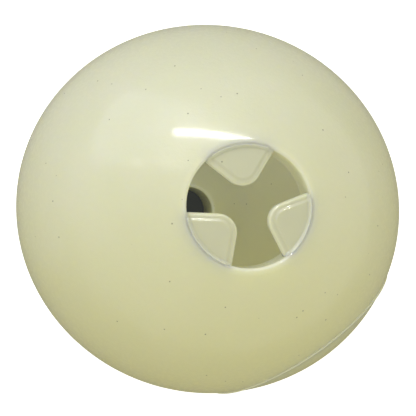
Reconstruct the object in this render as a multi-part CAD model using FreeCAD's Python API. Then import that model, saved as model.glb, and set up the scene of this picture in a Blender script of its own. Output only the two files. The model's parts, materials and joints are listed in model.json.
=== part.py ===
"""Hollow soft-rubber treat ball: two bonded shells, the bond line between them, and three flaps.

Millimetres. +Z is up, along the axis that the mouth and the vent share. The ball stands on the
rounded rim of its vent, and the origin is the middle of that rim's lowest circle.
"""
import FreeCAD, Part
import math
import os

Vector = FreeCAD.Vector

# ---- the ball ----
ball_diameter = 90.0
wall = 5.8
mouth_radius = 11.9
vent_radius = 6.75
rim_rounding = 0.5             # radius on the outer edges of the mouth and the vent

# ---- thicker seat round the inner end of the vent ----
boss_height = 8.0              # how far it stands in from the inner wall, along the vent
boss_land = 2.4                # width of its flat end, outside the vent
boss_flank_degrees = 24.0      # lean of its side
boss_mouth_chamfer = 0.8

# ---- the cap that closes the side of the ball ----
cap_joint_radius = 27.0        # radius of the joint circle at the outer surface
cap_azimuth_degrees = -53.8    # direction of the cap's middle about +Z, from +X
bond_width = 0.5               # thickness of the bond line between the two shells
bond_height = 0.3              # how far its bead stands out of the ball

# ---- the flaps ----
flap_count = 3
flap_first_azimuth_degrees = 99.7
flap_root_half_angle_degrees = 34.0
flap_thickness = 2.2
flap_recess = 1.1              # depth of a flap's face below the mouth's sharp edge
flap_edge_rounding = 0.95
flap_tip_reach = 4.15          # distance from the mouth's axis to a flap's tip
flap_tip_radius = 3.7
hinge_clearance = 0.25         # room between a flap's root and the groove it turns in

# ---- worked out from the sizes above ----
ball_radius = ball_diameter / 2
cavity_radius = ball_radius - wall
cap_plane_distance = math.sqrt(ball_radius ** 2 - cap_joint_radius ** 2)
cap_azimuth = math.radians(cap_azimuth_degrees)
cap_direction = Vector(math.cos(cap_azimuth), math.sin(cap_azimuth), 0)


def roll_height(hole_radius):
    """Distance from the ball's centre to the circle that a hole's edge rolls over, along the hole."""
    return math.sqrt((ball_radius - rim_rounding) ** 2 - (hole_radius + rim_rounding) ** 2)


centre_height = roll_height(vent_radius) + rim_rounding
centre = Vector(0, 0, centre_height)
vent_inner_depth = math.sqrt(cavity_radius ** 2 - vent_radius ** 2) - boss_height
mouth_edge_height = centre_height + math.sqrt(ball_radius ** 2 - mouth_radius ** 2)
flap_face_height = mouth_edge_height - flap_recess
hinge_distance = mouth_radius * math.cos(math.radians(flap_root_half_angle_degrees))
hinge_half_length = mouth_radius * math.sin(math.radians(flap_root_half_angle_degrees))
flap_half_thickness = flap_thickness / 2
hinge_height = flap_face_height - flap_half_thickness
edge_rounding = min(flap_edge_rounding, 0.9 * flap_half_thickness)
root_reach = edge_rounding + math.sqrt(2) * (flap_half_thickness - edge_rounding)
groove_radius = root_reach + hinge_clearance


def hole_profile(hole_radius, end):
    """Revolved tool for a through hole: a plain bore whose outer edge rolls over to the ball.

    end is +1 for the hole at the top and -1 for the hole at the base.
    """
    past_ball = 1.05 * ball_radius
    roll_centre = Vector(hole_radius + rim_rounding, 0, roll_height(hole_radius))
    bore_end = Vector(hole_radius, 0, roll_centre.z)
    ball_touch = roll_centre * (ball_radius / (ball_radius - rim_rounding))
    away = (bore_end + ball_touch) * 0.5 - roll_centre
    middle = roll_centre + away.normalize() * rim_rounding
    foot = Vector(hole_radius, 0, 0)
    axis_foot = Vector(0, 0, 0)
    axis_top = Vector(0, 0, past_ball)
    side_top = Vector(ball_touch.x, 0, past_ball)
    edges = [
        Part.LineSegment(axis_foot, foot).toShape(),
        Part.LineSegment(foot, bore_end).toShape(),
        Part.Arc(bore_end, middle, ball_touch).toShape(),
        Part.LineSegment(ball_touch, side_top).toShape(),
        Part.LineSegment(side_top, axis_top).toShape(),
        Part.LineSegment(axis_top, axis_foot).toShape(),
    ]
    tool = Part.Face(Part.Wire(edges)).revolve(Vector(0, 0, 0), Vector(0, 0, 1), 360)
    if end < 0:
        tool.rotate(Vector(0, 0, 0), Vector(1, 0, 0), 180)
    tool.translate(centre)
    return tool


def vent_boss():
    """Cone-sided seat that stands in from the wall round the vent, before the vent is cut."""
    end_radius = vent_radius + boss_land
    foot_depth = ball_radius - wall / 2
    length = foot_depth - vent_inner_depth
    foot_radius = end_radius + length * math.tan(math.radians(boss_flank_degrees))
    foot = centre - Vector(0, 0, foot_depth)
    cone = Part.makeCone(foot_radius, end_radius, length, foot, Vector(0, 0, 1))
    return cone.common(Part.makeSphere(ball_radius - wall / 4, centre))


def vent_mouth_chamfer():
    """Cone that breaks the inner edge of the vent, at the seat's flat end."""
    length = 2 * boss_mouth_chamfer
    start = centre - Vector(0, 0, vent_inner_depth + boss_mouth_chamfer)
    return Part.makeCone(vent_radius, vent_radius + length, length, start, Vector(0, 0, 1))


def flap_azimuth(index):
    """Direction of one flap about the mouth's axis, in degrees."""
    return flap_first_azimuth_degrees + index * 360.0 / flap_count


def turned(shape, azimuth_degrees):
    """Copy of a shape made along +X, turned about the mouth's axis."""
    copy = shape.copy()
    copy.rotate(Vector(0, 0, 0), Vector(0, 0, 1), azimuth_degrees)
    return copy


def flap_web():
    """Fixed root of a flap along +X: the segment of the mouth outside the flap's hinge line."""
    base = Vector(0, 0, flap_face_height - flap_thickness)
    disc = Part.makeCylinder(mouth_radius + wall / 5, flap_thickness, base)
    corner = Vector(hinge_distance, -hinge_half_length, base.z - flap_half_thickness)
    outside = Part.makeBox(mouth_radius, 2 * hinge_half_length, 2 * flap_thickness, corner)
    return disc.common(outside)


def hinge_groove():
    """Round groove along a flap's hinge line, in which the flap's root turns."""
    reach = hinge_half_length + hinge_clearance
    start = Vector(hinge_distance, -reach, hinge_height)
    return Part.makeCylinder(groove_radius, 2 * reach, start, Vector(0, 1, 0))


def flap_outline():
    """Closed outline of a flap along +X: straight sides between a round tip and round root corners."""
    tip_centre = Vector(flap_tip_reach + flap_tip_radius, 0, 0)
    corner_radius = flap_half_thickness
    corner_centre = Vector(hinge_distance, hinge_half_length - corner_radius, 0)
    between = corner_centre - tip_centre
    facing = math.atan2(between.y, between.x)
    facing += math.acos((flap_tip_radius - corner_radius) / between.Length)
    halfway = facing / 2
    tip_touch = tip_centre + Vector(math.cos(facing), math.sin(facing), 0) * flap_tip_radius
    corner_touch = corner_centre + Vector(math.cos(facing), math.sin(facing), 0) * corner_radius
    corner_middle = corner_centre + Vector(math.cos(halfway), math.sin(halfway), 0) * corner_radius
    root_end = corner_centre + Vector(corner_radius, 0, 0)
    tip = Vector(flap_tip_reach, 0, 0)

    def across(point):
        """The same point on the other side of the flap's middle."""
        return Vector(point.x, -point.y, 0)

    outline = Part.Wire([
        Part.Arc(tip_touch, tip, across(tip_touch)).toShape(),
        Part.LineSegment(across(tip_touch), across(corner_touch)).toShape(),
        Part.Arc(across(corner_touch), across(corner_middle), across(root_end)).toShape(),
        Part.LineSegment(across(root_end), root_end).toShape(),
        Part.Arc(root_end, corner_middle, corner_touch).toShape(),
        Part.LineSegment(corner_touch, tip_touch).toShape(),
    ])
    outline.translate(Vector(0, 0, flap_face_height - flap_thickness))
    return outline


def flap():
    """One flap along +X: a plate with every top and bottom edge rounded over."""
    plate = Part.Face(flap_outline()).extrude(Vector(0, 0, flap_thickness))
    level_edges = [edge for edge in plate.Edges if edge.BoundBox.ZLength < flap_thickness / 10]
    return plate.makeFillet(edge_rounding, level_edges)


def hollow_ball():
    """The whole ball before it is parted: wall, vent boss, mouth, vent and flap roots."""
    shell = Part.makeSphere(ball_radius, centre).cut(Part.makeSphere(cavity_radius, centre))
    shell = shell.fuse(vent_boss())
    shell = shell.cut(hole_profile(mouth_radius, 1))
    shell = shell.cut(hole_profile(vent_radius, -1))
    shell = shell.cut(vent_mouth_chamfer())
    for index in range(flap_count):
        shell = shell.fuse(turned(flap_web(), flap_azimuth(index)))
    for index in range(flap_count):
        shell = shell.cut(turned(hinge_groove(), flap_azimuth(index)))
    return shell.removeSplitter()


def half_space(distance):
    """Block holding everything further than a distance from the ball's centre, on the cap's side."""
    start = centre + cap_direction * distance
    return Part.makeCylinder(2 * ball_radius, 2 * ball_radius, start, cap_direction)


def bond_line():
    """Thin ring between the shells, whose outer edge stands out of the ball as a fine bead."""
    ring = Part.makeSphere(ball_radius + bond_height, centre).cut(Part.makeSphere(cavity_radius, centre))
    near_side = half_space(cap_plane_distance - bond_width / 2)
    far_side = half_space(cap_plane_distance + bond_width / 2)
    return ring.common(near_side).cut(far_side)


def main():
    """Build every piece and write it to its own file."""
    os.makedirs("parts", exist_ok=True)
    whole = hollow_ball()
    pieces = {
        "main_shell": whole.cut(half_space(cap_plane_distance - bond_width / 2)),
        "side_cap": whole.common(half_space(cap_plane_distance + bond_width / 2)),
        "bond_line": bond_line(),
    }
    for index in range(flap_count):
        pieces["flap_%d" % (index + 1)] = turned(flap(), flap_azimuth(index))
    for name, shape in pieces.items():
        solids = shape.Solids
        print(name, "solids", len(solids), "valid", shape.isValid(), "volume %.1f" % shape.Volume)
        shape.exportStep("parts/" + name + ".step")
    for index in range(flap_count):
        angle = math.radians(flap_azimuth(index))
        print("hinge %d at" % (index + 1), "%.4f %.4f %.4f" % (hinge_distance * math.cos(angle),
              hinge_distance * math.sin(angle), hinge_height),
              "axis %.5f %.5f 0" % (-math.sin(angle), math.cos(angle)))
    print("ball centre height %.4f" % centre_height, "mouth edge %.4f" % mouth_edge_height)


main()
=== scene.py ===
"""Looks of a hollow soft-rubber treat ball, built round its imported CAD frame.

The ball stands on its vent with the mouth and its three flaps on top. All sizes are in metres, in the
frame of the CAD model. Each sub-assembly is a class that builds its own meshes and dresses them.
"""
import json
import logging
import math
from dataclasses import dataclass
from enum import Enum
from typing import Any, Sequence

import bmesh
import bpy
from mathutils import Matrix, Vector

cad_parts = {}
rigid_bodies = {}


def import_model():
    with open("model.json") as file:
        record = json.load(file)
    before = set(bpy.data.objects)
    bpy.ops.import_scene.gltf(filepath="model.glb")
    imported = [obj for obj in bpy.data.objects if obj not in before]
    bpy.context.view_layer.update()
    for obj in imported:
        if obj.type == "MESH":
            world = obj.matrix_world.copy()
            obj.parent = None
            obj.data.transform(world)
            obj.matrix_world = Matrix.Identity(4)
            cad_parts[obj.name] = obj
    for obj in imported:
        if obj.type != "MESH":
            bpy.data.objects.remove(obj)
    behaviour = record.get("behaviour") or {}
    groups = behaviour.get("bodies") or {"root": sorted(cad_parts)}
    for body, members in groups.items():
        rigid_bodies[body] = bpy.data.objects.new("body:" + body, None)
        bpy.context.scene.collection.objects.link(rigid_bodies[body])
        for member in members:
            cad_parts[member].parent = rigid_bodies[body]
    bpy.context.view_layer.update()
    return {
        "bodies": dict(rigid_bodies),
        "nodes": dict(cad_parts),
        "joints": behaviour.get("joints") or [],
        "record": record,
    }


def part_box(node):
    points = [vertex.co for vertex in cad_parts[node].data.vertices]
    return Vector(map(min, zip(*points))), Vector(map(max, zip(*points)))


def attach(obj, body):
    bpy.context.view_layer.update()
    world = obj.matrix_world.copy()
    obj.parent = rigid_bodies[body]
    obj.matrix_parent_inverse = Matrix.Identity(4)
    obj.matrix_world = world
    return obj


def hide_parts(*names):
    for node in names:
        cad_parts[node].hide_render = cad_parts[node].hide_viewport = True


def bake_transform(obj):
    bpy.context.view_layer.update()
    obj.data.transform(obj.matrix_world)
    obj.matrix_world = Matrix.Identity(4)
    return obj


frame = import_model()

log = logging.getLogger("treat_ball")

MM = 0.001
PAINTED_EDGE_LIGHT = "margin"
SAME_PLACE = 0.001 * MM
Point = tuple[float, float]
Range = tuple[float, float]
Colour = tuple[float, float, float]
Direction = tuple[float, float, float]
WHITE: Colour = (1.0, 1.0, 1.0)


# ---------------------------------------------------------------------------------------------
# Shader arithmetic
# ---------------------------------------------------------------------------------------------
class Signal:
    """One output of a shader node, which can stand in Python arithmetic."""

    def __init__(self, recipe: "Recipe", socket: bpy.types.NodeSocket) -> None:
        """Keep the recipe that owns the node, and the socket itself."""
        self.recipe = recipe
        self.socket = socket

    def _math(self, operation: str, first: Any, second: Any) -> "Signal":
        """Add one Math node and return its output."""
        return self.recipe.add("ShaderNodeMath", {"operation": operation}, {0: first, 1: second})

    def __add__(self, other: Any) -> "Signal":
        """self + other."""
        return self._math("ADD", self, other)

    __radd__ = __add__

    def __sub__(self, other: Any) -> "Signal":
        """self - other."""
        return self._math("SUBTRACT", self, other)

    def __rsub__(self, other: Any) -> "Signal":
        """other - self."""
        return self._math("SUBTRACT", other, self)

    def __mul__(self, other: Any) -> "Signal":
        """self * other."""
        return self._math("MULTIPLY", self, other)

    __rmul__ = __mul__

    def between(self, low: float, high: float) -> "Signal":
        """0 below low, 1 above high, and a smooth rise between them.

        Args:
            low: Value at which the result leaves 0. It may be the larger of the two.
            high: Value at which the result reaches 1.

        Returns:
            The smoothed share.
        """
        settings = {"interpolation_type": "SMOOTHSTEP"}
        return self.recipe.add(
            "ShaderNodeMapRange", settings, {"Value": self, "From Min": low, "From Max": high}
        )


class Recipe:
    """A material's node tree, filled through one method."""

    def __init__(self, name: str) -> None:
        """Start an empty material of that name."""
        self.material = bpy.data.materials.new(name)
        self.material.use_nodes = True
        self.tree = self.material.node_tree
        self.tree.nodes.clear()

    @staticmethod
    def _pick(sockets: Any, key: Any) -> bpy.types.NodeSocket:
        """Find a socket.

        Args:
            sockets: A node's inputs or outputs.
            key: The socket's number, identifier or name.

        Returns:
            The socket.
        """
        if isinstance(key, int):
            return sockets[key]
        for socket in sockets:
            if socket.identifier == key:
                return socket
        return sockets[key]

    def _place(self, kind: str, settings: dict[str, Any], inputs: dict[Any, Any]) -> bpy.types.Node:
        """Make one node, set its properties, then set or link its inputs.

        Args:
            kind: The node's type.
            settings: The node's own properties, set first.
            inputs: Values or Signals, by socket number, identifier or name.

        Returns:
            The node.
        """
        node = self.tree.nodes.new(kind)
        for name, value in settings.items():
            setattr(node, name, value)
        for key, value in inputs.items():
            socket = self._pick(node.inputs, key)
            if isinstance(value, Signal):
                self.tree.links.new(value.socket, socket)
            else:
                socket.default_value = value
        return node

    def add(
        self,
        kind: str,
        settings: dict[str, Any] | None = None,
        inputs: dict[Any, Any] | None = None,
        output: Any = 0,
    ) -> Signal:
        """Add any node and give back one of its outputs.

        Args:
            kind: The node's type.
            settings: The node's own properties.
            inputs: Values or Signals, by socket number, identifier or name.
            output: Which output to return.

        Returns:
            That output as a Signal.
        """
        node = self._place(kind, settings or {}, inputs or {})
        return Signal(self, self._pick(node.outputs, output))

    def mix(self, share: Any, low: Any, high: Any) -> Signal:
        """Blend two colours.

        Args:
            share: 0 for low, 1 for high.
            low: Colour or Signal.
            high: Colour or Signal.

        Returns:
            The blended colour.
        """
        colours = {"A_Color": low, "B_Color": high}
        colours = {k: v if isinstance(v, Signal) else (*v, 1.0) for k, v in colours.items()}
        settings = {"data_type": "RGBA"}
        return self.add("ShaderNodeMix", settings, {"Factor_Float": share, **colours}, "Result_Color")

    def finish(self, shader: Signal) -> bpy.types.Material:
        """Join the shader to the surface.

        Args:
            shader: The shader's output.

        Returns:
            The finished material.
        """
        self._place("ShaderNodeOutputMaterial", {}, {"Surface": shader})
        return self.material


# ---------------------------------------------------------------------------------------------
# Finishes
# ---------------------------------------------------------------------------------------------
class Look(Enum):
    """The ways the one rubber shows on the ball: the flap's copy is painted darker as shade, the bead's copy
    painted lighter as a highlight.
    """

    SHELL = "shell"
    FLAP = "flap"
    BEAD = "bead"


@dataclass(frozen=True)
class Rubber:
    """Soft translucent moulded rubber, with its gloss, grain, dust and rub marks, its painted shade and its
    painted edge light.
    """

    name: str
    pale: Colour
    deep: Colour
    # painted shade: a deeper yellow colour on the side away from the lamps
    painted_shade_colour: Colour = (0.78, 0.76, 0.41)
    # painted edge light: lighter colour along the mouth's rim and the flaps' outlines
    margin: Colour | None = None
    dust: Colour = (0.20, 0.19, 0.12)
    rubbed: Colour = (0.93, 0.93, 0.86)

    # how the light goes in and comes back
    roughness: float = 0.46
    roughness_swing: float = 0.12
    refraction: float = 1.49
    scatter_depth: float = 4.5 * MM
    scatter_shares: Colour = (1.0, 0.92, 0.55)
    gloss: float = 0.68
    gloss_roughness: float = 0.11
    gloss_refraction: float = 1.45
    gloss_breakup: float = 0.2
    gloss_gap: Range = (0.54, 0.40)

    # the soft patches of tone, and the painted shade: a deeper yellow on the side away from the lamps
    cloud_size: float = 26 * MM
    mottle_size: float = 7 * MM
    cloud_share: float = 0.7
    tone_range: Range = (0.36, 0.66)
    painted_shade_side: Direction = (0.15, -0.95, -0.25)
    painted_shade_range: Range = (-50 * MM, 36 * MM)
    painted_shade_wander: float = 14 * MM

    # the fine relief
    grain_size: float = 0.9 * MM
    pore_size: float = 0.22 * MM
    relief: float = 0.12 * MM
    peel: float = 0.55
    grain_height: float = 0.6
    pore_height: float = 0.25
    mottle_height: float = 0.5

    # dust
    speck_spacing: float = 3.3 * MM
    speck_radius: float = 0.20 * MM
    speck_core: float = 0.55
    speck_strength: float = 0.7
    speck_dulling: float = 0.3
    speck_height: float = 0.8

    # rub marks: the two sets differ in direction and spacing
    rubs: float = 1.0
    rub_sets: tuple[Point, ...] = ((0.6, 5.5 * MM), (2.1, 6.5 * MM))
    rub_lean: Point = (0.4, 0.3)
    rub_stretch: float = 9.0
    rub_width: float = 0.15 * MM
    rub_core: float = 0.3
    rub_strength: float = 0.5
    rub_dulling: float = 0.2
    rub_depth: float = 0.6

    def material(self) -> bpy.types.Material:
        """Build the node tree.

        Returns:
            The material.
        """
        recipe = Recipe(self.name)
        place = recipe.add("ShaderNodeTexCoord", output="Object")
        cloud = self._noise(recipe, place, self.cloud_size, 2.0)
        mottle = self._noise(recipe, place, self.mottle_size, 3.0)
        grain = self._noise(recipe, place, self.grain_size, 3.0)
        pores = self._noise(recipe, place, self.pore_size, 2.0)
        speck = self._specks(recipe, place)
        rub = self._rub_marks(recipe, place)

        body = self._body(recipe, place, cloud, mottle)
        body = recipe.mix(speck * self.speck_strength, body, self.dust)
        body = recipe.mix(rub * self.rub_strength, body, self.rubbed)

        dullness = self.roughness + (mottle - 0.5) * self.roughness_swing
        dullness = dullness + rub * self.rub_dulling + speck * self.speck_dulling

        height = grain * self.grain_height + pores * self.pore_height + mottle * self.mottle_height
        height = height - rub * self.rub_depth + speck * self.speck_height
        relief = {"Strength": self.peel, "Distance": self.relief, "Height": height}
        bump = recipe.add("ShaderNodeBump", None, relief, "Normal")

        gap = grain.between(*self.gloss_gap)
        shader = recipe.add(
            "ShaderNodeBsdfPrincipled",
            {"subsurface_method": "RANDOM_WALK"},
            {
                "Base Color": body,
                "Roughness": dullness,
                "IOR": self.refraction,
                "Subsurface Weight": 1.0,
                "Subsurface Radius": self.scatter_shares,
                "Subsurface Scale": self.scatter_depth,
                "Coat Weight": self.gloss - gap * (self.gloss * self.gloss_breakup),
                "Coat Roughness": self.gloss_roughness,
                "Coat IOR": self.gloss_refraction,
                "Normal": bump,
            },
        )
        return recipe.finish(shader)

    @staticmethod
    def _noise(recipe: Recipe, place: Signal, size: float, detail: float) -> Signal:
        """Soft random values.

        Args:
            recipe: The recipe to add to.
            place: Where on the piece.
            size: About how large the features are.
            detail: How many finer octaves ride on them.

        Returns:
            Values round 0.5.
        """
        inputs = {"Vector": place, "Scale": 1.0 / size, "Detail": detail, "Roughness": 0.55}
        return recipe.add("ShaderNodeTexNoise", None, inputs)

    @staticmethod
    def _cells(recipe: Recipe, place: Signal, spacing: float) -> Signal:
        """Distance to the nearest of some scattered points.

        Args:
            recipe: The recipe to add to.
            place: Where on the piece.
            spacing: About how far apart the points lie.

        Returns:
            The distance, as a share of the spacing.
        """
        inputs = {"Vector": place, "Scale": 1.0 / spacing}
        return recipe.add("ShaderNodeTexVoronoi", {"feature": "F1"}, inputs, "Distance")

    def _body(self, recipe: Recipe, place: Signal, cloud: Signal, mottle: Signal) -> Signal:
        """The rubber's colour with its painted shade and painted edge light, before dust and rub marks.

        Args:
            recipe: The recipe to add to.
            place: Where on the piece.
            cloud: The large patches.
            mottle: The small patches.

        Returns:
            The colour.
        """
        tone = (cloud * self.cloud_share + mottle * (1 - self.cloud_share)).between(*self.tone_range)
        body = recipe.mix(tone, self.pale, self.deep)
        # painted shade: blend towards the deeper yellow colour on the side away from the lamps
        body = recipe.mix(self._painted_shade_share(recipe, place, cloud), body, self.painted_shade_colour)
        # painted edge light: lighter colour where the mesh is marked along the mouth's rim and the flaps'
        # outlines
        if self.margin:
            painted_edge_light_share = recipe.add("ShaderNodeAttribute", {"attribute_name": PAINTED_EDGE_LIGHT}, output="Fac")
            body = recipe.mix(painted_edge_light_share, body, self.margin)
        return body

    def _painted_shade_share(self, recipe: Recipe, place: Signal, cloud: Signal) -> Signal:
        """Share of the painted shade colour, a deeper yellow, strongest towards -Y and slightly downwards,
        away from the lamps.

        Args:
            recipe: The recipe to add to.
            place: Where on the piece.
            cloud: The large patches, which make its border wander.

        Returns:
            The share.
        """
        settings = {"operation": "DOT_PRODUCT"}
        along = recipe.add("ShaderNodeVectorMath", settings, {0: place, 1: self.painted_shade_side}, "Value")
        return (along + (cloud - 0.5) * self.painted_shade_wander).between(*self.painted_shade_range)

    def _specks(self, recipe: Recipe, place: Signal) -> Signal:
        """Fine dark dust caught on the rubber.

        Args:
            recipe: The recipe to add to.
            place: Where on the piece.

        Returns:
            1 inside a speck.
        """
        edge = self.speck_radius / self.speck_spacing
        return self._cells(recipe, place, self.speck_spacing).between(edge, self.speck_core * edge)

    def _rub_marks(self, recipe: Recipe, place: Signal) -> Signal:
        """Short pale marks where the ball was rubbed.

        Args:
            recipe: The recipe to add to.
            place: Where on the piece.

        Returns:
            1 inside a mark.
        """
        marks: Signal | None = None
        for turn, spacing in self.rub_sets:
            laid = recipe.add(
                "ShaderNodeMapping",
                {"vector_type": "TEXTURE"},
                {"Vector": place, "Rotation": (*self.rub_lean, turn), "Scale": (self.rub_stretch, 1.0, 1.0)},
            )
            edge = self.rub_width / spacing
            mark = self._cells(recipe, laid, spacing).between(edge, self.rub_core * edge) * self.rubs
            marks = mark if marks is None else marks + mark
        return marks


@dataclass(frozen=True)
class PlainFinish:
    """A matt finish for what the ball stands on."""

    name: str
    colour: Colour
    glow: float = 0.0
    roughness: float = 0.9
    patches_per_metre: float = 3.0
    patch_shade: float = 0.97

    def material(self) -> bpy.types.Material:
        """Build the node tree, with a very slight unevenness.

        Returns:
            The material.
        """
        recipe = Recipe(self.name)
        place = recipe.add("ShaderNodeTexCoord", output="Object")
        patches = {"Vector": place, "Scale": self.patches_per_metre}
        cloud = recipe.add("ShaderNodeTexNoise", None, patches)
        darker = tuple(self.patch_shade * c for c in self.colour)
        shade = recipe.mix(cloud, self.colour, darker)
        shader = recipe.add(
            "ShaderNodeBsdfPrincipled",
            None,
            {
                "Base Color": shade,
                "Roughness": self.roughness,
                "Specular IOR Level": 0.0,
                "Emission Color": shade,
                "Emission Strength": self.glow,
            },
        )
        return recipe.finish(shader)


RUBBERS: dict[Look, Rubber] = {
    Look.SHELL: Rubber(
        "cream_rubber_shell", (0.81, 0.815, 0.64), (0.79, 0.80, 0.60), margin=(0.85, 0.845, 0.60)
    ),
    # painted shade: the flaps' colours are a darker copy of the shell's rubber
    Look.FLAP: Rubber(
        "cream_rubber_flap",
        (0.71, 0.71, 0.53),
        (0.67, 0.675, 0.49),
        painted_shade_colour=(0.72, 0.715, 0.50),
        roughness=0.5,
        gloss=0.8,
        gloss_roughness=0.07,
        gloss_breakup=0.0,
        scatter_depth=1.2 * MM,
        peel=0.25,
        rubs=0.6,
        margin=(0.78, 0.78, 0.58),
    ),
    # painted highlight: the bead's colours are a lighter copy of the shell's rubber
    Look.BEAD: Rubber(
        "cream_rubber_bead",
        (0.86, 0.85, 0.60),
        (0.84, 0.82, 0.55),
        painted_shade_colour=(0.85, 0.83, 0.54),
        scatter_depth=1.2 * MM,
        rubs=0.0,
    ),
}


# ---------------------------------------------------------------------------------------------
# Mesh helpers
# ---------------------------------------------------------------------------------------------
def arc(centre: Point, radius: float, start: float, end: float, steps: int) -> list[Point]:
    """Points along a circular arc in a profile's plane.

    Args:
        centre: The arc's centre.
        radius: Its radius.
        start: Angle of the first point, in radians.
        end: Angle of the last point.
        steps: How many stretches the arc is divided into.

    Returns:
        steps + 1 points.
    """
    turns = (start + (end - start) * i / steps for i in range(steps + 1))
    return [(centre[0] + radius * math.cos(t), centre[1] + radius * math.sin(t)) for t in turns]


def run(start: Point, end: Point, steps: int, edge: float = 0.12 * MM) -> list[Point]:
    """Points inside a straight stretch, with one close to each end to hold the roundings crisp.

    Args:
        start: First end, which is left out.
        end: Second end, which is left out.
        steps: How many stretches lie between the two end points.
        edge: How far from each end the first and last points lie.

    Returns:
        The points between the ends.
    """
    length = math.dist(start, end)
    places = [edge + (length - 2 * edge) * i / steps for i in range(steps + 1)]
    return [
        (start[0] + (end[0] - start[0]) * p / length, start[1] + (end[1] - start[1]) * p / length)
        for p in places
    ]


def smooth(value: float, low: float, high: float) -> float:
    """Rise smoothly from 0 to 1.

    Args:
        value: What is looked at.
        low: Value up to which the result is 0.
        high: Value from which it is 1.

    Returns:
        The share.
    """
    share = max(0.0, min(1.0, (value - low) / (high - low)))
    return share * share * (3 - 2 * share)


def spin_profile(points: Sequence[Point], steps: int, closed: bool) -> bmesh.types.BMesh:
    """Turn a profile of (radius, height) points a full circle about +Z.

    Args:
        points: The profile, in order.
        steps: Divisions of the full turn.
        closed: Whether the last point joins the first.

    Returns:
        The turned mesh, with its doubles merged.
    """
    bm = bmesh.new()
    verts = [bm.verts.new((x, 0, z)) for x, z in points]
    pairs = list(zip(verts, verts[1:]))
    if closed:
        pairs.append((verts[-1], verts[0]))
    edges = [bm.edges.new(pair) for pair in pairs]
    bmesh.ops.spin(
        bm,
        geom=verts + edges,
        cent=(0, 0, 0),
        axis=(0, 0, 1),
        angle=math.tau,
        steps=steps,
        use_merge=True,
    )
    bmesh.ops.remove_doubles(bm, verts=bm.verts, dist=SAME_PLACE)
    bmesh.ops.recalc_face_normals(bm, faces=bm.faces)
    return bm


def make_piece(name: str, bm: bmesh.types.BMesh, material: bpy.types.Material) -> bpy.types.Object:
    """Put a finished mesh in the scene, smooth shaded, with its object at the origin.

    Args:
        name: The piece's name.
        bm: The mesh, which is freed.
        material: Its finish.

    Returns:
        The new object.
    """
    mesh = bpy.data.meshes.new(name)
    bm.to_mesh(mesh)
    bm.free()
    mesh.polygons.foreach_set("use_smooth", [True] * len(mesh.polygons))
    mesh.materials.append(material)
    piece = bpy.data.objects.new(name, mesh)
    bpy.context.scene.collection.objects.link(piece)
    return piece


# ---------------------------------------------------------------------------------------------
# The ball
# ---------------------------------------------------------------------------------------------
@dataclass(frozen=True)
class BallSizes:
    """Sizes that every part of the ball shares."""

    radius: float
    centre: Vector
    vent_radius: float
    wall: float = 5.8 * MM
    mouth_radius: float = 11.9 * MM
    rim_rounding: float = 0.5 * MM
    oval: float = 0.021
    mouth_oval: float = 0.035
    oval_azimuth: float = math.radians(-9.9)
    round_within: float = 1.1
    oval_beyond: float = 0.62
    mouth_zone: float = 0.6

    @classmethod
    def from_frame(cls, packed: dict[str, Any]) -> "BallSizes":
        """Read what the CAD model fixes.

        Args:
            packed: The loaded frame.

        Returns:
            The sizes.
        """
        low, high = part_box("main_shell")
        radius = (high.x - low.x) / 2
        vent = next(m for m in packed["record"]["mounts"] if m["name"] == "vent")
        vent_radius = vent["dims"]["r_mm"] * MM
        roll = cls.rim_rounding
        height = math.sqrt((radius - roll) ** 2 - (vent_radius + roll) ** 2) + roll
        return cls(radius, Vector((0, 0, low.z + height)), vent_radius)

    @property
    def cavity(self) -> float:
        """Radius of the hollow inside."""
        return self.radius - self.wall

    def roll_height(self, hole: float) -> float:
        """Height over the ball's centre of the circle that a hole's edge rolls over.

        Args:
            hole: The hole's radius.

        Returns:
            The height.
        """
        return math.sqrt((self.radius - self.rim_rounding) ** 2 - (hole + self.rim_rounding) ** 2)

    def settle(self, bm: bmesh.types.BMesh) -> None:
        """Let the true sphere relax a little, as soft rubber does.

        The ball becomes slightly oval, and so does its mouth. The vent stays round.

        Args:
            bm: A mesh round the ball's centre.
        """
        major = Vector((math.cos(self.oval_azimuth), math.sin(self.oval_azimuth), 0))
        minor = Vector((-major.y, major.x, 0))
        for vert in bm.verts:
            off_axis = math.hypot(vert.co.x, vert.co.y)
            limb = smooth(off_axis, self.round_within * self.mouth_radius, self.oval_beyond * self.radius)
            mouth = (1 - limb) * smooth(vert.co.z, 0, self.mouth_zone * self.radius)
            wider = self.oval * limb
            narrower = self.oval * limb + self.mouth_oval * mouth
            vert.co += major * vert.co.dot(major) * wider - minor * vert.co.dot(minor) * narrower


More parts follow.
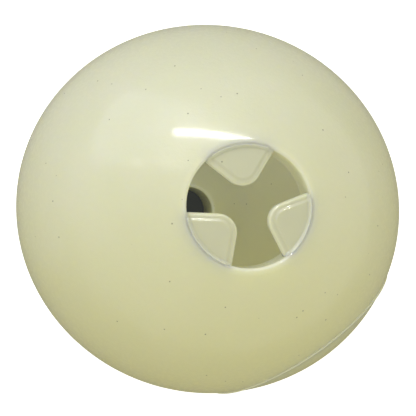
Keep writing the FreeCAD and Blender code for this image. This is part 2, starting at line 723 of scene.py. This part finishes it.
@dataclass
class Shells:
    """The large shell and the cap that closes its side."""

    sizes: BallSizes
    turn_steps: int = 256
    arc_steps: int = 120
    rim_steps: int = 8
    bore_steps: int = 8
    lip_steps: int = 6
    foot_steps: int = 24
    throat_steps: int = 10
    cap_outer_steps: int = 60
    cap_inner_steps: int = 40
    boss_height: float = 8.0 * MM
    boss_land: float = 2.4 * MM
    boss_lean: float = math.radians(24)
    boss_spread: float = 0.20
    foot_tries: int = 40
    knee_share: float = 0.4
    inner_rounding: float = 0.6 * MM
    inner_sink: float = 0.9
    corner_gap: float = 0.004
    corner_start: float = math.radians(-111.6)
    corner_steps: int = 5
    joint_radius: float = 27.0 * MM
    joint_azimuth: float = math.radians(-53.8)
    bond_width: float = 0.5 * MM
    joint_rounding: float = 0.10 * MM
    cut_reach: float = 0.02 * MM
    ring_merge: float = 0.08 * MM
    painted_rim_light_fade: Range = (0.6 * MM, 1.4 * MM)

    @property
    def joint_distance(self) -> float:
        """Distance of the joint's middle plane from the ball's centre."""
        return math.sqrt(self.sizes.radius**2 - self.joint_radius**2)

    @property
    def joint_direction(self) -> Vector:
        """The way from the ball's centre to the middle of the cap."""
        return Vector((math.cos(self.joint_azimuth), math.sin(self.joint_azimuth), 0))

    def _outside(self) -> list[Point]:
        """Section of the ball's outer face, with the rounded rims at both ends.

        Returns:
            Points from the mouth's bore, round the outside, to the vent's bore.
        """
        s = self.sizes
        mouth_roll = (s.mouth_radius + s.rim_rounding, s.roll_height(s.mouth_radius))
        vent_roll = (s.vent_radius + s.rim_rounding, -s.roll_height(s.vent_radius))
        mouth_lean = math.atan2(mouth_roll[1], mouth_roll[0])
        vent_lean = math.atan2(vent_roll[1], vent_roll[0])
        points = arc(mouth_roll, s.rim_rounding, math.pi, mouth_lean, self.rim_steps)
        points += arc((0, 0), s.radius, mouth_lean, vent_lean, self.arc_steps)[1:-1]
        return points + arc(vent_roll, s.rim_rounding, vent_lean, -math.pi, self.rim_steps)

    def _profile(self) -> list[Point]:
        """Closed section of the whole wall.

        Returns:
            Points from the mouth's rim round the outside, up the vent's bore, over its seat and back
            along the inner wall.
        """
        s = self.sizes
        points = self._outside()
        inner = self.inner_rounding
        boss_depth = -math.sqrt(s.cavity**2 - s.vent_radius**2) + self.boss_height
        lip = (s.vent_radius + inner, boss_depth - inner)
        lip_arc = arc(lip, inner, math.pi, math.pi / 3, self.lip_steps)
        points += run(points[-1], lip_arc[0], self.bore_steps) + lip_arc

        foot = self._boss_foot((s.vent_radius + self.boss_land, boss_depth))
        end_angle = math.atan2(foot[1], foot[0]) + self.boss_spread
        end = (s.cavity * math.cos(end_angle), s.cavity * math.sin(end_angle))
        knee = tuple((1 - self.knee_share) * p + self.knee_share * q for p, q in zip(foot, end))
        points += self._ease(lip_arc[-1], knee, end, self.foot_steps)

        edge = self._mouth_inner_edge()
        top_angle = math.atan2(edge[1], edge[0])
        points += arc((0, 0), s.cavity, end_angle, top_angle - self.corner_gap, self.arc_steps)
        corner = (s.mouth_radius + inner, edge[1] + inner * self.inner_sink)
        points += arc(corner, inner, self.corner_start, -math.pi, self.corner_steps)
        return points + run(points[-1], points[0], self.throat_steps)

    def _boss_foot(self, top: Point) -> Point:
        """Where the seat's leaning side would meet the inner wall, found by closing in on it.

        Args:
            top: The outer edge of the seat's flat end.

        Returns:
            The meeting point.
        """
        slope = math.tan(self.boss_lean)
        depth = top[1]
        for _ in range(self.foot_tries):
            x = top[0] + (top[1] - depth) * slope
            depth = -math.sqrt(self.sizes.cavity**2 - x * x)
        return (top[0] + (top[1] - depth) * slope, depth)

    @staticmethod
    def _ease(start: Point, knee: Point, end: Point, steps: int) -> list[Point]:
        """Soft curve that leaves and arrives along the lines to a knee.

        Args:
            start: First end, which is left out.
            knee: Where the two lines meet.
            end: Second end, which is left out.
            steps: How many stretches it is divided into.

        Returns:
            The points between the ends.
        """
        points = []
        for i in range(1, steps):
            t = i / steps
            a, b, c = (1 - t) ** 2, 2 * t * (1 - t), t * t
            points.append(tuple(a * p + b * q + c * r for p, q, r in zip(start, knee, end)))
        return points

    def _mouth_inner_edge(self) -> Point:
        """Point on the inner wall where the mouth's inner rounding starts."""
        x = self.sizes.mouth_radius + self.inner_rounding * self.inner_sink
        return (x, math.sqrt(self.sizes.cavity**2 - x * x))

    def _round_joint_edge(self, bm: bmesh.types.BMesh, distance: float) -> None:
        """Round the outer edge of the flat joint face, so that the bond line sits in a fine groove.

        Args:
            bm: A shell's mesh, round the ball's centre.
            distance: How far its joint face lies from the centre.
        """
        outer = []
        for edge in bm.edges:
            middle = (edge.verts[0].co + edge.verts[1].co) / 2
            gaps = [abs(vert.co.dot(self.joint_direction) - distance) for vert in edge.verts]
            if max(gaps) < 2 * SAME_PLACE and middle.length > self.sizes.radius - self.joint_rounding:
                outer.append(edge)
        bmesh.ops.bevel(
            bm,
            geom=outer,
            offset=self.joint_rounding,
            offset_type="OFFSET",
            affect="EDGES",
            segments=3,
            profile=0.5,
            material=-1,
        )

    def _close(self, bm: bmesh.types.BMesh) -> None:
        """Join the two open rings of a cut wall with a flat face."""
        rings = [edge for edge in bm.edges if edge.is_boundary]
        bmesh.ops.bridge_loops(bm, edges=rings)
        bmesh.ops.recalc_face_normals(bm, faces=bm.faces)

    def main_shell(self) -> bmesh.types.BMesh:
        """The large shell with the mouth, the vent and the opening for the cap.

        Returns:
            Its mesh, at the ball's own place.
        """
        bm = spin_profile(self._profile(), self.turn_steps, True)
        distance = self.joint_distance - self.bond_width / 2
        everything = list(bm.verts) + list(bm.edges) + list(bm.faces)
        bmesh.ops.bisect_plane(
            bm,
            geom=everything,
            dist=self.cut_reach,
            plane_co=self.joint_direction * distance,
            plane_no=self.joint_direction,
            clear_outer=True,
        )
        for vert in bm.verts:
            if vert.is_boundary:
                self._true_ring(vert, distance)
        ring = [vert for vert in bm.verts if vert.is_boundary]
        bmesh.ops.remove_doubles(bm, verts=ring, dist=self.ring_merge)
        self._close(bm)
        self._round_joint_edge(bm, distance)
        self._mark_painted_rim_light(bm)
        return self._seat(bm)

    def _mark_painted_rim_light(self, bm: bmesh.types.BMesh) -> None:
        """Mark the mouth's rounded rim for the painted edge light, a lighter colour that fades out along
        both faces.

        Args:
            bm: The shell's mesh, round the ball's centre.
        """
        s = self.sizes
        margin = bm.verts.layers.float.new(PAINTED_EDGE_LIGHT)
        for vert in bm.verts:
            outside = math.hypot(vert.co.x, vert.co.y) - s.mouth_radius
            from_rim = math.hypot(outside, vert.co.z - s.roll_height(s.mouth_radius))
            vert[margin] = 1 - smooth(from_rim, *self.painted_rim_light_fade)

    def _true_ring(self, vert: bmesh.types.BMVert, distance: float) -> None:
        """Put a vertex of the cut exactly on the circle where the joint plane meets a face of the wall.

        Args:
            vert: The vertex, on the outer or the inner face.
            distance: How far the plane lies from the ball's centre.
        """
        s = self.sizes
        sphere = s.radius if vert.co.length > s.radius - s.wall / 2 else s.cavity
        across = vert.co - self.joint_direction * vert.co.dot(self.joint_direction)
        ring = math.sqrt(sphere**2 - distance**2)
        vert.co = self.joint_direction * distance + across.normalized() * ring

    def side_cap(self) -> bmesh.types.BMesh:
        """The round cap that closes the ball's side.

        Returns:
            Its mesh, at the ball's own place.
        """
        s = self.sizes
        distance = self.joint_distance + self.bond_width / 2
        outer_lean = math.asin(distance / s.radius)
        inner_lean = math.asin(distance / s.cavity)
        points = arc((0, 0), s.radius, math.pi / 2, outer_lean, self.cap_outer_steps)
        points += arc((0, 0), s.cavity, inner_lean, math.pi / 2, self.cap_inner_steps)
        bm = spin_profile(points, self.turn_steps, False)
        bm.transform(self.joint_turn())
        self._round_joint_edge(bm, distance)
        return self._seat(bm)

    def joint_turn(self) -> Matrix:
        """Rotation that takes +Z to the middle of the cap."""
        return Vector((0, 0, 1)).rotation_difference(self.joint_direction).to_matrix().to_4x4()

    def _seat(self, bm: bmesh.types.BMesh) -> bmesh.types.BMesh:
        """Relax the ball's shape and lift it to its place over the floor.

        Args:
            bm: A shell's mesh, round the ball's centre.

        Returns:
            The same mesh.
        """
        self.sizes.settle(bm)
        bmesh.ops.translate(bm, verts=bm.verts, vec=self.sizes.centre)
        return bm

    def build(self) -> None:
        """Make both shells and hang them on the ball."""
        finish = RUBBERS[Look.SHELL].material()
        shell = make_piece("shell_main", self.main_shell(), finish)
        cap = make_piece("shell_side_cap", self.side_cap(), finish)
        for piece, node in ((shell, "main_shell"), (cap, "side_cap")):
            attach(piece, "ball")
            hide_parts(node)
            log.info("%s: %d faces", piece.name, len(piece.data.polygons))


@dataclass
class BondBead:
    """The fine bead of bonding flash that stands out along the joint of the two shells."""

    shells: Shells
    height: float = 0.20 * MM
    depth: float = 5.6 * MM
    shoulder: float = 0.3 * MM
    round_steps: int = 8
    turn_steps: int = 320
    unevenness: float = 0.35
    waves: tuple[tuple[float, int, float], ...] = ((0.5, 7, 0.4), (0.3, 19, 0.0), (0.2, 43, 1.0))

    def mesh(self) -> bmesh.types.BMesh:
        """A thin ring with a rounded, slightly uneven outer edge.

        Returns:
            Its mesh, at the ball's own place.
        """
        s = self.shells.sizes
        half = self.shells.bond_width / 2
        distance = self.shells.joint_distance
        ring = self.shells.joint_radius
        outward = math.atan2(distance, ring)
        normal = (math.cos(outward), math.sin(outward))
        inner_ring = math.sqrt((s.radius - self.depth) ** 2 - distance**2)
        section = [(inner_ring, distance - half), (ring - self.shoulder, distance - half)]
        for i in range(self.round_steps + 1):
            turn = math.pi * (i / self.round_steps - 0.5)
            lift = self.height * math.cos(turn)
            section.append((ring + normal[0] * lift, distance + half * math.sin(turn) + normal[1] * lift))
        section += [(ring - self.shoulder, distance + half), (inner_ring, distance + half)]
        bm = spin_profile(section, self.turn_steps, True)
        self._roughen(bm)
        bm.transform(self.shells.joint_turn())
        s.settle(bm)
        bmesh.ops.translate(bm, verts=bm.verts, vec=s.centre)
        return bm

    def _roughen(self, bm: bmesh.types.BMesh) -> None:
        """Let the bead's height wander along the joint, as trimmed flash does.

        Args:
            bm: The bead's mesh, round +Z.
        """
        radius = self.shells.sizes.radius
        for vert in bm.verts:
            proud = vert.co.length - radius
            if proud > 0:
                turn = math.atan2(vert.co.y, vert.co.x)
                wander = sum(share * math.sin(count * turn + phase) for share, count, phase in self.waves)
                vert.co -= vert.co.normalized() * proud * self.unevenness * (0.5 + 0.5 * wander)

    def build(self) -> None:
        """Make the bead and hang it on the ball."""
        bead = make_piece("bond_bead", self.mesh(), RUBBERS[Look.BEAD].material())
        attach(bead, "ball")
        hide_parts("bond_line")
        log.info("%s: %d faces", bead.name, len(bead.data.polygons))


@dataclass
class Flap:
    """One rubber flap, moulded to the mouth's wall at its root and free at its round tip."""

    sizes: BallSizes
    number: int
    azimuth: float
    hinge_distance: float
    hinge_height: float
    thickness: float = 2.0 * MM
    face_drop: float = 0.75 * MM
    crown: float = 0.8 * MM
    root_half_angle: float = math.radians(34)
    root_widening: float = 1.04
    root_fillet: float = 0.6 * MM
    root_rise: float = 0.55 * MM
    buried: float = 0.3 * MM
    tip_reach: float = 4.15 * MM
    tip_radius: float = 3.7 * MM
    front_rounding: Point = (0.65 * MM, 0.60 * MM)
    back_rounding: Point = (0.5 * MM, 0.5 * MM)
    pad_rise: float = 0.225 * MM
    margin_width: float = 1.0 * MM
    step_width: float = 0.5 * MM
    # width of the painted edge light along the outline and the root
    outline_width: float = 0.55 * MM
    outline_core: float = 0.3
    bend_before: float = 0.5 * MM
    bend_after: float = 2.4 * MM
    along_steps: int = 56
    across_steps: int = 110
    along_crowding: float = 1.5
    across_crowding: float = 1.6

    @classmethod
    def from_joint(cls, sizes: BallSizes, number: int, joint: dict[str, Any]) -> "Flap":
        """Place a flap by its hinge.

        Args:
            sizes: The ball's sizes.
            number: The flap's number, from 1.
            joint: The hinge, as the frame gives it.

        Returns:
            The flap.
        """
        x, y, z = joint["pos_m"]
        return cls(sizes, number, math.atan2(y, x), math.hypot(x, y), z)

    @property
    def rim_top(self) -> float:
        """Height of the mouth's rounded rim."""
        s = self.sizes
        return s.centre.z + s.roll_height(s.mouth_radius) + s.rim_rounding

    @property
    def _tip_centre(self) -> float:
        """Distance from the mouth's axis to the middle of the tip's rounding."""
        return self.tip_reach + self.tip_radius

    def _root_point(self, share: float) -> Vector:
        """Point on the root, a little inside the mouth's wall.

        Args:
            share: From -1 at one side to 1 at the other.

        Returns:
            The point, for a flap along +X.
        """
        radius = self.sizes.mouth_radius + self.buried
        spread = self.root_half_angle * share * self.sizes.mouth_radius / radius * self.root_widening
        return Vector((radius * math.cos(spread), radius * math.sin(spread), 0))

    @property
    def _side_facing(self) -> float:
        """Direction that a straight side faces, from the flap's middle line.

        Returns:
            The angle, in radians.
        """
        root, half = self.sizes.mouth_radius, self.root_half_angle
        corner = Vector((root * math.cos(half), root * math.sin(half)))
        between = corner - Vector((self._tip_centre, 0))
        return math.atan2(between.y, between.x) + math.acos(self.tip_radius / between.length)

    def _tip_point(self, share: float) -> Vector:
        """Point on the round tip.

        Args:
            share: From -1 at one side to 1 at the other.

        Returns:
            The point, for a flap along +X.
        """
        facing = math.pi + (self._side_facing - math.pi) * share
        x = self._tip_centre + self.tip_radius * math.cos(facing)
        return Vector((x, self.tip_radius * math.sin(facing), 0))

    def _edge_distance(self, x: float, y: float) -> float:
        """How far a point lies inside the flap's sides and tip.

        Args:
            x: Its distance along the flap, from the mouth's axis.
            y: Its distance from the flap's middle line.

        Returns:
            The distance, which is negative outside.
        """
        past_centre = x - self._tip_centre
        facing = self._side_facing
        if math.atan2(abs(y), past_centre) > facing:
            return self.tip_radius - math.hypot(past_centre, y)
        return self.tip_radius - (past_centre * math.cos(facing) + abs(y) * math.sin(facing))

    @staticmethod
    def _rounding(distance: float, shape: Point) -> float:
        """Drop of a rounded edge.

        Args:
            distance: How far inside the outline the point lies.
            shape: The rounding's width and height.

        Returns:
            The drop.
        """
        width, height = shape
        share = max(0.0, 1 - max(0.0, distance) / width)
        return height * (1 - math.sqrt(max(0.0, 1 - share * share)))

    def _face(self, x: float, y: float) -> float:
        """Height of the front face before its edges and its pad are shaped: it crowns as the ball does."""
        share = math.hypot(x, y) / self.sizes.mouth_radius
        return self.rim_top - self.face_drop + self.crown * (1 - share * share)

    def _pad(self, x: float, y: float) -> float:
        """1 on the slightly raised pad in the flap's middle, 0 on the margin along its sides and tip."""
        return max(0.0, min(1.0, (self._edge_distance(x, y) - self.margin_width) / self.step_width))

    def _front(self, x: float, y: float) -> float:
        """Height of the front face.

        Args:
            x: Distance along the flap, from the mouth's axis.
            y: Distance from the flap's middle line.

        Returns:
            The height, with the edges, the pad and the fillet at the root.
        """
        from_wall = self.sizes.mouth_radius - math.hypot(x, y)
        height = self._face(x, y) - self._rounding(self._edge_distance(x, y), self.front_rounding)
        rise = max(0.0, 1 - max(0.0, from_wall) / self.root_fillet) ** 2
        return height + self.pad_rise * self._pad(x, y) + rise * self.root_rise

    def _painted_outline_light(self, x: float, y: float) -> float:
        """Share of the painted edge light: 1 along the flap's outline and its root, 0 inside."""
        from_wall = self.sizes.mouth_radius - math.hypot(x, y)
        inside = min(from_wall, self._edge_distance(x, y))
        return 1 - smooth(inside, self.outline_core * self.outline_width, self.outline_width)

    def _back(self, x: float, y: float) -> float:
        """Height of the back face."""
        rounding = self._rounding(self._edge_distance(x, y), self.back_rounding)
        return self._face(x, y) - self.thickness + rounding

    @staticmethod
    def _spread(place: float, crowding: float) -> float:
        """Crowd evenly spaced places from -1 to 1 towards both ends."""
        return math.copysign(1 - (1 - abs(place)) ** crowding, place)

    def mesh(self) -> bmesh.types.BMesh:
        """The flap: a grid laid over its outline, given a front, a back and rounded edges.

        Returns:
            Its mesh, at its own place.
        """
        bm = bmesh.new()
        margin = bm.verts.layers.float.new(PAINTED_EDGE_LIGHT)
        bmesh.ops.create_grid(bm, x_segments=self.along_steps, y_segments=self.across_steps, size=1.0)
        sheet = list(bm.verts)
        for vert in sheet:
            along = (1 + self._spread(vert.co.x, self.along_crowding)) / 2
            across = self._spread(vert.co.y, self.across_crowding)
            vert.co = self._root_point(across).lerp(self._tip_point(across), along)
            # painted edge light along the outline and the root
            vert[margin] = self._painted_outline_light(vert.co.x, vert.co.y)
        made = bmesh.ops.extrude_face_region(bm, geom=list(bm.faces))
        back = [item for item in made["geom"] if isinstance(item, bmesh.types.BMVert)]
        for vert in sheet:
            vert.co.z = self._front(vert.co.x, vert.co.y)
        for vert in back:
            vert.co.z = self._back(vert.co.x, vert.co.y)
        bmesh.ops.recalc_face_normals(bm, faces=bm.faces)
        bmesh.ops.rotate(bm, verts=bm.verts, matrix=Matrix.Rotation(self.azimuth, 3, "Z"))
        bmesh.ops.translate(bm, verts=bm.verts, vec=-self.sizes.centre)
        self.sizes.settle(bm)
        bmesh.ops.translate(bm, verts=bm.verts, vec=self.sizes.centre)
        return bm

    def build(self, finish: bpy.types.Material) -> None:
        """Make the flap in its place and hide the CAD flap that it stands in for.

        Args:
            finish: The flap's material.
        """
        body = f"flap_{self.number}"
        flap = make_piece(f"rubber_{body}", self.mesh(), finish)
        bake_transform(flap)
        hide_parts(body)
        log.info("%s: %d faces", flap.name, len(flap.data.polygons))


# ---------------------------------------------------------------------------------------------
# Camera, lights and floor
# ---------------------------------------------------------------------------------------------
@dataclass(frozen=True)
class Lamp:
    """One rectangular light that faces the ball, placed by the camera's right, up and back."""

    name: str
    towards: Direction
    distance: float
    size: Point
    power: float
    colour: Colour
    roll: float = 0.0
    gloss_only: bool = False


STRIP_RISE = math.radians(41.8)
STRIP_ROLL = math.radians(-6.8)
LAMP_COLOUR: Colour = (1.0, 0.96, 0.72)
LAMPS: tuple[Lamp, ...] = (
    Lamp(
        "strip",
        (0.06, math.sin(STRIP_RISE), math.cos(STRIP_RISE)),
        0.60,
        (0.40, 0.036),
        2.0,
        WHITE,
        roll=STRIP_ROLL,
        gloss_only=True,
    ),
    Lamp("lamp_near", (-0.25, 0.42, 0.87), 0.60, (0.17, 0.05), 0.055, LAMP_COLOUR, gloss_only=True),
    Lamp("lamp_far", (-0.56, 0.39, 0.73), 0.60, (0.08, 0.05), 0.028, LAMP_COLOUR, gloss_only=True),
    Lamp("sky", (-0.55, 0.75, 0.60), 0.9, (0.9, 0.7), 3.05, (0.72, 0.76, 1.0)),
)
FLOOR_FINISH = PlainFinish("pale_floor", (0.93, 0.93, 0.92), glow=0.75)
TABLE_FINISH = PlainFinish("dim_table", (0.40, 0.38, 0.27))
# painted shadow: a dark disc on the floor under the vent, where there is only the ball's shade
VENT_SHADOW_FINISH = PlainFinish("dark_spot", (0.030, 0.032, 0.029), glow=0.85)


@dataclass
class Studio:
    """The camera, the soft lights and the plain floor."""

    sizes: BallSizes
    lens: float = 58.8
    camera_distance: float = 3.75
    camera_lean: float = math.radians(10.4)
    camera_dip: float = math.radians(0.7)
    aim_lift: float = 0.27 * MM
    inner_power: float = 0.0180
    inner_colour: Colour = (0.71, 0.72, 1.0)
    inner_softness: float = 0.74
    inner_lift: float = 0.1
    room_colour: Colour = (1.0, 0.99, 0.865)
    room_strength: float = 0.735
    floor_size: float = 40.0
    table_size: float = 4.0
    table_drop: float = 0.5 * MM
    spot_spread: float = 1.04
    spot_lift: float = 0.05 * MM

    def __post_init__(self) -> None:
        """Work out the camera's own directions."""
        sideways, level = math.sin(self.camera_lean), math.cos(self.camera_lean)
        self.back = Vector((-sideways, -math.sin(self.camera_dip), level)).normalized()
        self.up = Vector((0, 1, 0))
        self.right = self.up.cross(self.back).normalized()

    def _looking(self, place: Vector, target: Vector) -> Matrix:
        """Pose of a camera or light that faces a target.

        Args:
            place: Where it stands.
            target: What it faces.

        Returns:
            Its world matrix.
        """
        back = (place - target).normalized()
        right = self.up.cross(back).normalized()
        turn = Matrix((right, back.cross(right), back)).transposed().to_4x4()
        return Matrix.Translation(place) @ turn

    @staticmethod
    def _hang(name: str, data: bpy.types.ID, pose: Matrix) -> bpy.types.Object:
        """Put a camera or a light in the scene.

        Args:
            name: Its name.
            data: The camera or light.
            pose: Its world matrix.

        Returns:
            The object.
        """
        item = bpy.data.objects.new(name, data)
        bpy.context.scene.collection.objects.link(item)
        item.matrix_world = pose
        return item

    def add_camera(self) -> None:
        """Set the camera over the mouth, a little to one side of its axis."""
        data = bpy.data.cameras.new("camera")
        data.lens = self.lens
        data.sensor_width = 36.0
        data.clip_start = 0.005
        data.clip_end = 100.0
        aim = self.sizes.centre + self.up * self.aim_lift
        place = aim + self.back * self.camera_distance * self.sizes.radius
        bpy.context.scene.camera = self._hang("camera", data, self._looking(place, aim))

    def _add_lamp(self, lamp: Lamp) -> None:
        """Hang one rectangular light.

        Args:
            lamp: What it is and where it hangs.
        """
        data = bpy.data.lights.new(lamp.name, "AREA")
        data.shape = "RECTANGLE"
        data.size, data.size_y = lamp.size
        data.energy = lamp.power
        data.color = lamp.colour
        right, up, back = lamp.towards
        direction = (self.right * right + self.up * up + self.back * back).normalized()
        pose = self._looking(self.sizes.centre + direction * lamp.distance, self.sizes.centre)
        light = self._hang(lamp.name, data, pose @ Matrix.Rotation(lamp.roll, 4, "Z"))
        light.visible_diffuse = not lamp.gloss_only

    def _add_inner_glow(self) -> None:
        """Hang a soft round light in the hollow, for the daylight that comes through the rubber."""
        data = bpy.data.lights.new("inner_glow", "POINT")
        data.energy = self.inner_power
        data.color = self.inner_colour
        data.shadow_soft_size = self.inner_softness * self.sizes.cavity
        place = self.sizes.centre + Vector((0, 0, self.inner_lift * self.sizes.cavity))
        light = self._hang("inner_glow", data, Matrix.Translation(place))
        light.visible_camera = False
        light.visible_glossy = False

    def _light_room(self) -> None:
        """Give the room its even light."""
        world = bpy.data.worlds.new("room")
        world.use_nodes = True
        background = world.node_tree.nodes["Background"]
        background.inputs["Color"].default_value = (*self.room_colour, 1.0)
        background.inputs["Strength"].default_value = self.room_strength
        bpy.context.scene.world = world

    def add_lights(self) -> None:
        """Hang every light, and show colours as they are."""
        for lamp in LAMPS:
            self._add_lamp(lamp)
        self._add_inner_glow()
        self._light_room()
        bpy.context.scene.view_settings.view_transform = "Standard"

    @staticmethod
    def _sheet(name: str, size: float, height: float, finish: PlainFinish) -> bpy.types.Object:
        """A flat square to stand things on.

        Args:
            name: Its name.
            size: Its width.
            height: Its level.
            finish: Its finish.

        Returns:
            The object.
        """
        bm = bmesh.new()
        bmesh.ops.create_grid(bm, x_segments=8, y_segments=8, size=size / 2)
        bmesh.ops.translate(bm, verts=bm.verts, vec=(0, 0, height))
        return make_piece(name, bm, finish.material())

    def add_floor(self) -> None:
        """Lay the pale floor, the dim table that the ball mirrors, and the painted shadow under the vent: a
        dark disc where the floor lies in the ball's shade.
        """
        floor = self._sheet("floor", self.floor_size, 0.0, FLOOR_FINISH)
        table = self._sheet("table", self.table_size, -self.table_drop, TABLE_FINISH)
        for item, seen in ((floor, True), (table, False)):
            item.visible_shadow = not seen
            item.visible_camera = seen
            item.visible_diffuse = not seen
            item.visible_glossy = not seen
            item.visible_transmission = not seen
        bm = bmesh.new()
        radius = self.sizes.vent_radius * self.spot_spread
        bmesh.ops.create_circle(bm, cap_ends=True, segments=64, radius=radius)
        bmesh.ops.translate(bm, verts=bm.verts, vec=(0, 0, self.spot_lift))
        spot = make_piece("vent_shadow", bm, VENT_SHADOW_FINISH.material())


def main() -> None:
    """Build the studio and the ball in order."""
    logging.basicConfig(level=logging.INFO, format="%(message)s")
    sizes = BallSizes.from_frame(frame)
    studio = Studio(sizes)
    studio.add_camera()
    studio.add_lights()
    studio.add_floor()
    shells = Shells(sizes)
    shells.build()
    BondBead(shells).build()
    flap_finish = RUBBERS[Look.FLAP].material()
    hinges = [joint for joint in frame["joints"] if joint["type"] == "hinge"]
    for number, joint in enumerate(hinges, start=1):
        Flap.from_joint(sizes, number, joint).build(flap_finish)


if __name__ == "__main__":
    main()
